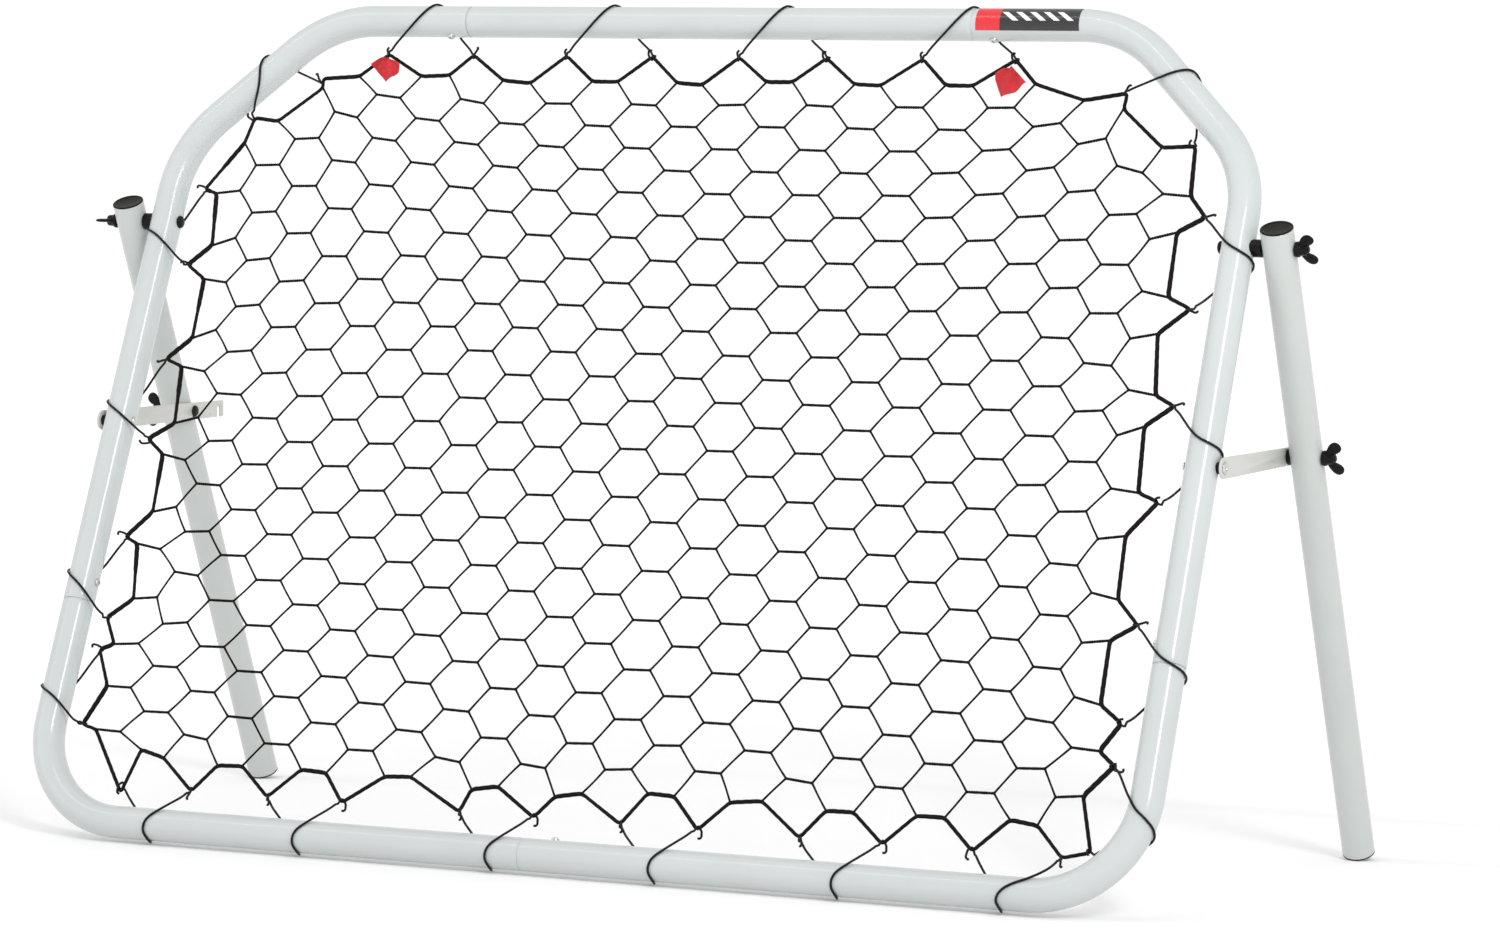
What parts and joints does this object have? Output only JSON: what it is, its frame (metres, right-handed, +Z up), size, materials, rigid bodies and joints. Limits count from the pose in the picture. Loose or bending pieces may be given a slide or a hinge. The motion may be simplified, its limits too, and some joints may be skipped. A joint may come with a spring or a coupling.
{
  "type": "ball rebounder",
  "caption": "Leaning frame of round steel tube with a laced hexagonal net, propped by folding rear legs with locking straps and wing nuts.",
  "frame": {"origin": "middle of the footprint, on the ground", "axes": "+X along the frame's width, with the left side at -X as seen from the front; +Y from the net's face towards the rear legs; +Z up"},
  "size_m": [1.3218, 0.5684, 0.8375],
  "materials": {
    "frame_paint": "gloss white powder coat",
    "leg_paint": "gloss pale grey-green powder coat",
    "strap_paint": "satin off-white powder coat",
    "zinc_steel": "zinc plated",
    "black_steel": "black coated",
    "black_plastic": "moulded, slightly glossy",
    "cap_plastic": "moulded, dark brown-black",
    "black_wire": "black coated spring wire",
    "net_cord": "knitted synthetic cord",
    "red_cloth": "woven tape",
    "label_film": "printed film, plain red and black blocks"
  },
  "bodies": {
    "frame": {"lower_left_tube": "frame_paint", "upper_left_tube": "frame_paint", "top_tube": "frame_paint", "upper_right_tube": "frame_paint", "lower_right_tube": "frame_paint", "left_seam_screw": "zinc_steel", "top_left_seam_screw": "zinc_steel", "top_right_seam_screw": "zinc_steel", "right_seam_screw": "zinc_steel", "bottom_seam_screw": "zinc_steel", "net_clip_01": "black_wire", "net_clip_02": "black_wire", "net_clip_03": "black_wire", "net_clip_04": "black_wire", "net_clip_05": "black_wire", "net_clip_06": "black_wire", "net_clip_07": "black_wire", "net_clip_08": "black_wire", "net_clip_09": "black_wire", "net_clip_10": "black_wire", "net_clip_11": "black_wire", "net_clip_12": "black_wire", "net_clip_13": "black_wire", "net_clip_14": "black_wire", "net_clip_15": "black_wire", "net_clip_16": "black_wire", "net_clip_17": "black_wire", "net_clip_18": "black_wire", "net_clip_19": "black_wire", "net_clip_20": "black_wire", "border_rope": "net_cord", "net": "net_cord", "label_band": "label_film", "left_tag": "red_cloth", "right_tag": "red_cloth", "left_pivot_bolt": "black_steel", "right_pivot_bolt": "black_steel", "left_pivot_spacer": "black_plastic", "right_pivot_spacer": "black_plastic", "left_strap_rivet": "zinc_steel", "right_strap_rivet": "zinc_steel", "left_strap_washer": "black_plastic", "right_strap_washer": "black_plastic"},
    "left_leg": {"left_leg_tube": "leg_paint", "left_leg_top_cap": "cap_plastic", "left_leg_foot_cap": "cap_plastic", "left_lock_stud": "black_steel"},
    "left_strap": {"left_strap": "strap_paint", "left_lock_bolt": "black_steel"},
    "left_pivot_nut": {"left_pivot_wing_nut": "black_plastic"},
    "left_lock_nut": {"left_lock_wing_nut": "black_plastic"},
    "right_leg": {"right_leg_tube": "leg_paint", "right_leg_top_cap": "cap_plastic", "right_leg_foot_cap": "cap_plastic", "right_lock_stud": "black_steel"},
    "right_strap": {"right_strap": "strap_paint", "right_lock_bolt": "black_steel"},
    "right_pivot_nut": {"right_pivot_wing_nut": "black_plastic"},
    "right_lock_nut": {"right_lock_wing_nut": "black_plastic"}
  },
  "joints": [
    {"name": "left_leg_fold", "type": "hinge", "parent": "frame", "child": "left_leg", "pos_m": [-0.625, -0.01322, 0.60825], "axis": [-1, 0, 0], "range_deg": [0, 44]},
    {"name": "left_strap_fold", "type": "hinge", "parent": "frame", "child": "left_strap", "pos_m": [-0.605, -0.09953, 0.40588], "axis": [-1, 0, 0], "range_deg": [0, 114]},
    {"name": "left_pivot_nut_turn", "type": "hinge", "parent": "frame", "child": "left_pivot_nut", "pos_m": [-0.647, -0.01322, 0.60825], "axis": [-1, 0, 0], "continuous": true},
    {"name": "left_lock_nut_turn", "type": "hinge", "parent": "left_leg", "child": "left_lock_nut", "pos_m": [-0.647, 0.08088, 0.40828], "axis": [-1, 0, 0], "continuous": true},
    {"name": "right_leg_fold", "type": "hinge", "parent": "frame", "child": "right_leg", "pos_m": [0.625, -0.01322, 0.60825], "axis": [-1, 0, 0], "range_deg": [0, 44]},
    {"name": "right_strap_fold", "type": "hinge", "parent": "frame", "child": "right_strap", "pos_m": [0.605, -0.09953, 0.40588], "axis": [-1, 0, 0], "range_deg": [0, 114]},
    {"name": "right_pivot_nut_turn", "type": "hinge", "parent": "frame", "child": "right_pivot_nut", "pos_m": [0.647, -0.01322, 0.60825], "axis": [1, 0, 0], "continuous": true},
    {"name": "right_lock_nut_turn", "type": "hinge", "parent": "right_leg", "child": "right_lock_nut", "pos_m": [0.647, 0.08088, 0.40828], "axis": [1, 0, 0], "continuous": true}
  ],
  "couplings": [
    {"joint": "left_strap_fold", "follows": "left_leg_fold", "ratio": 2.57},
    {"joint": "right_strap_fold", "follows": "right_leg_fold", "ratio": 2.57}
  ]
}
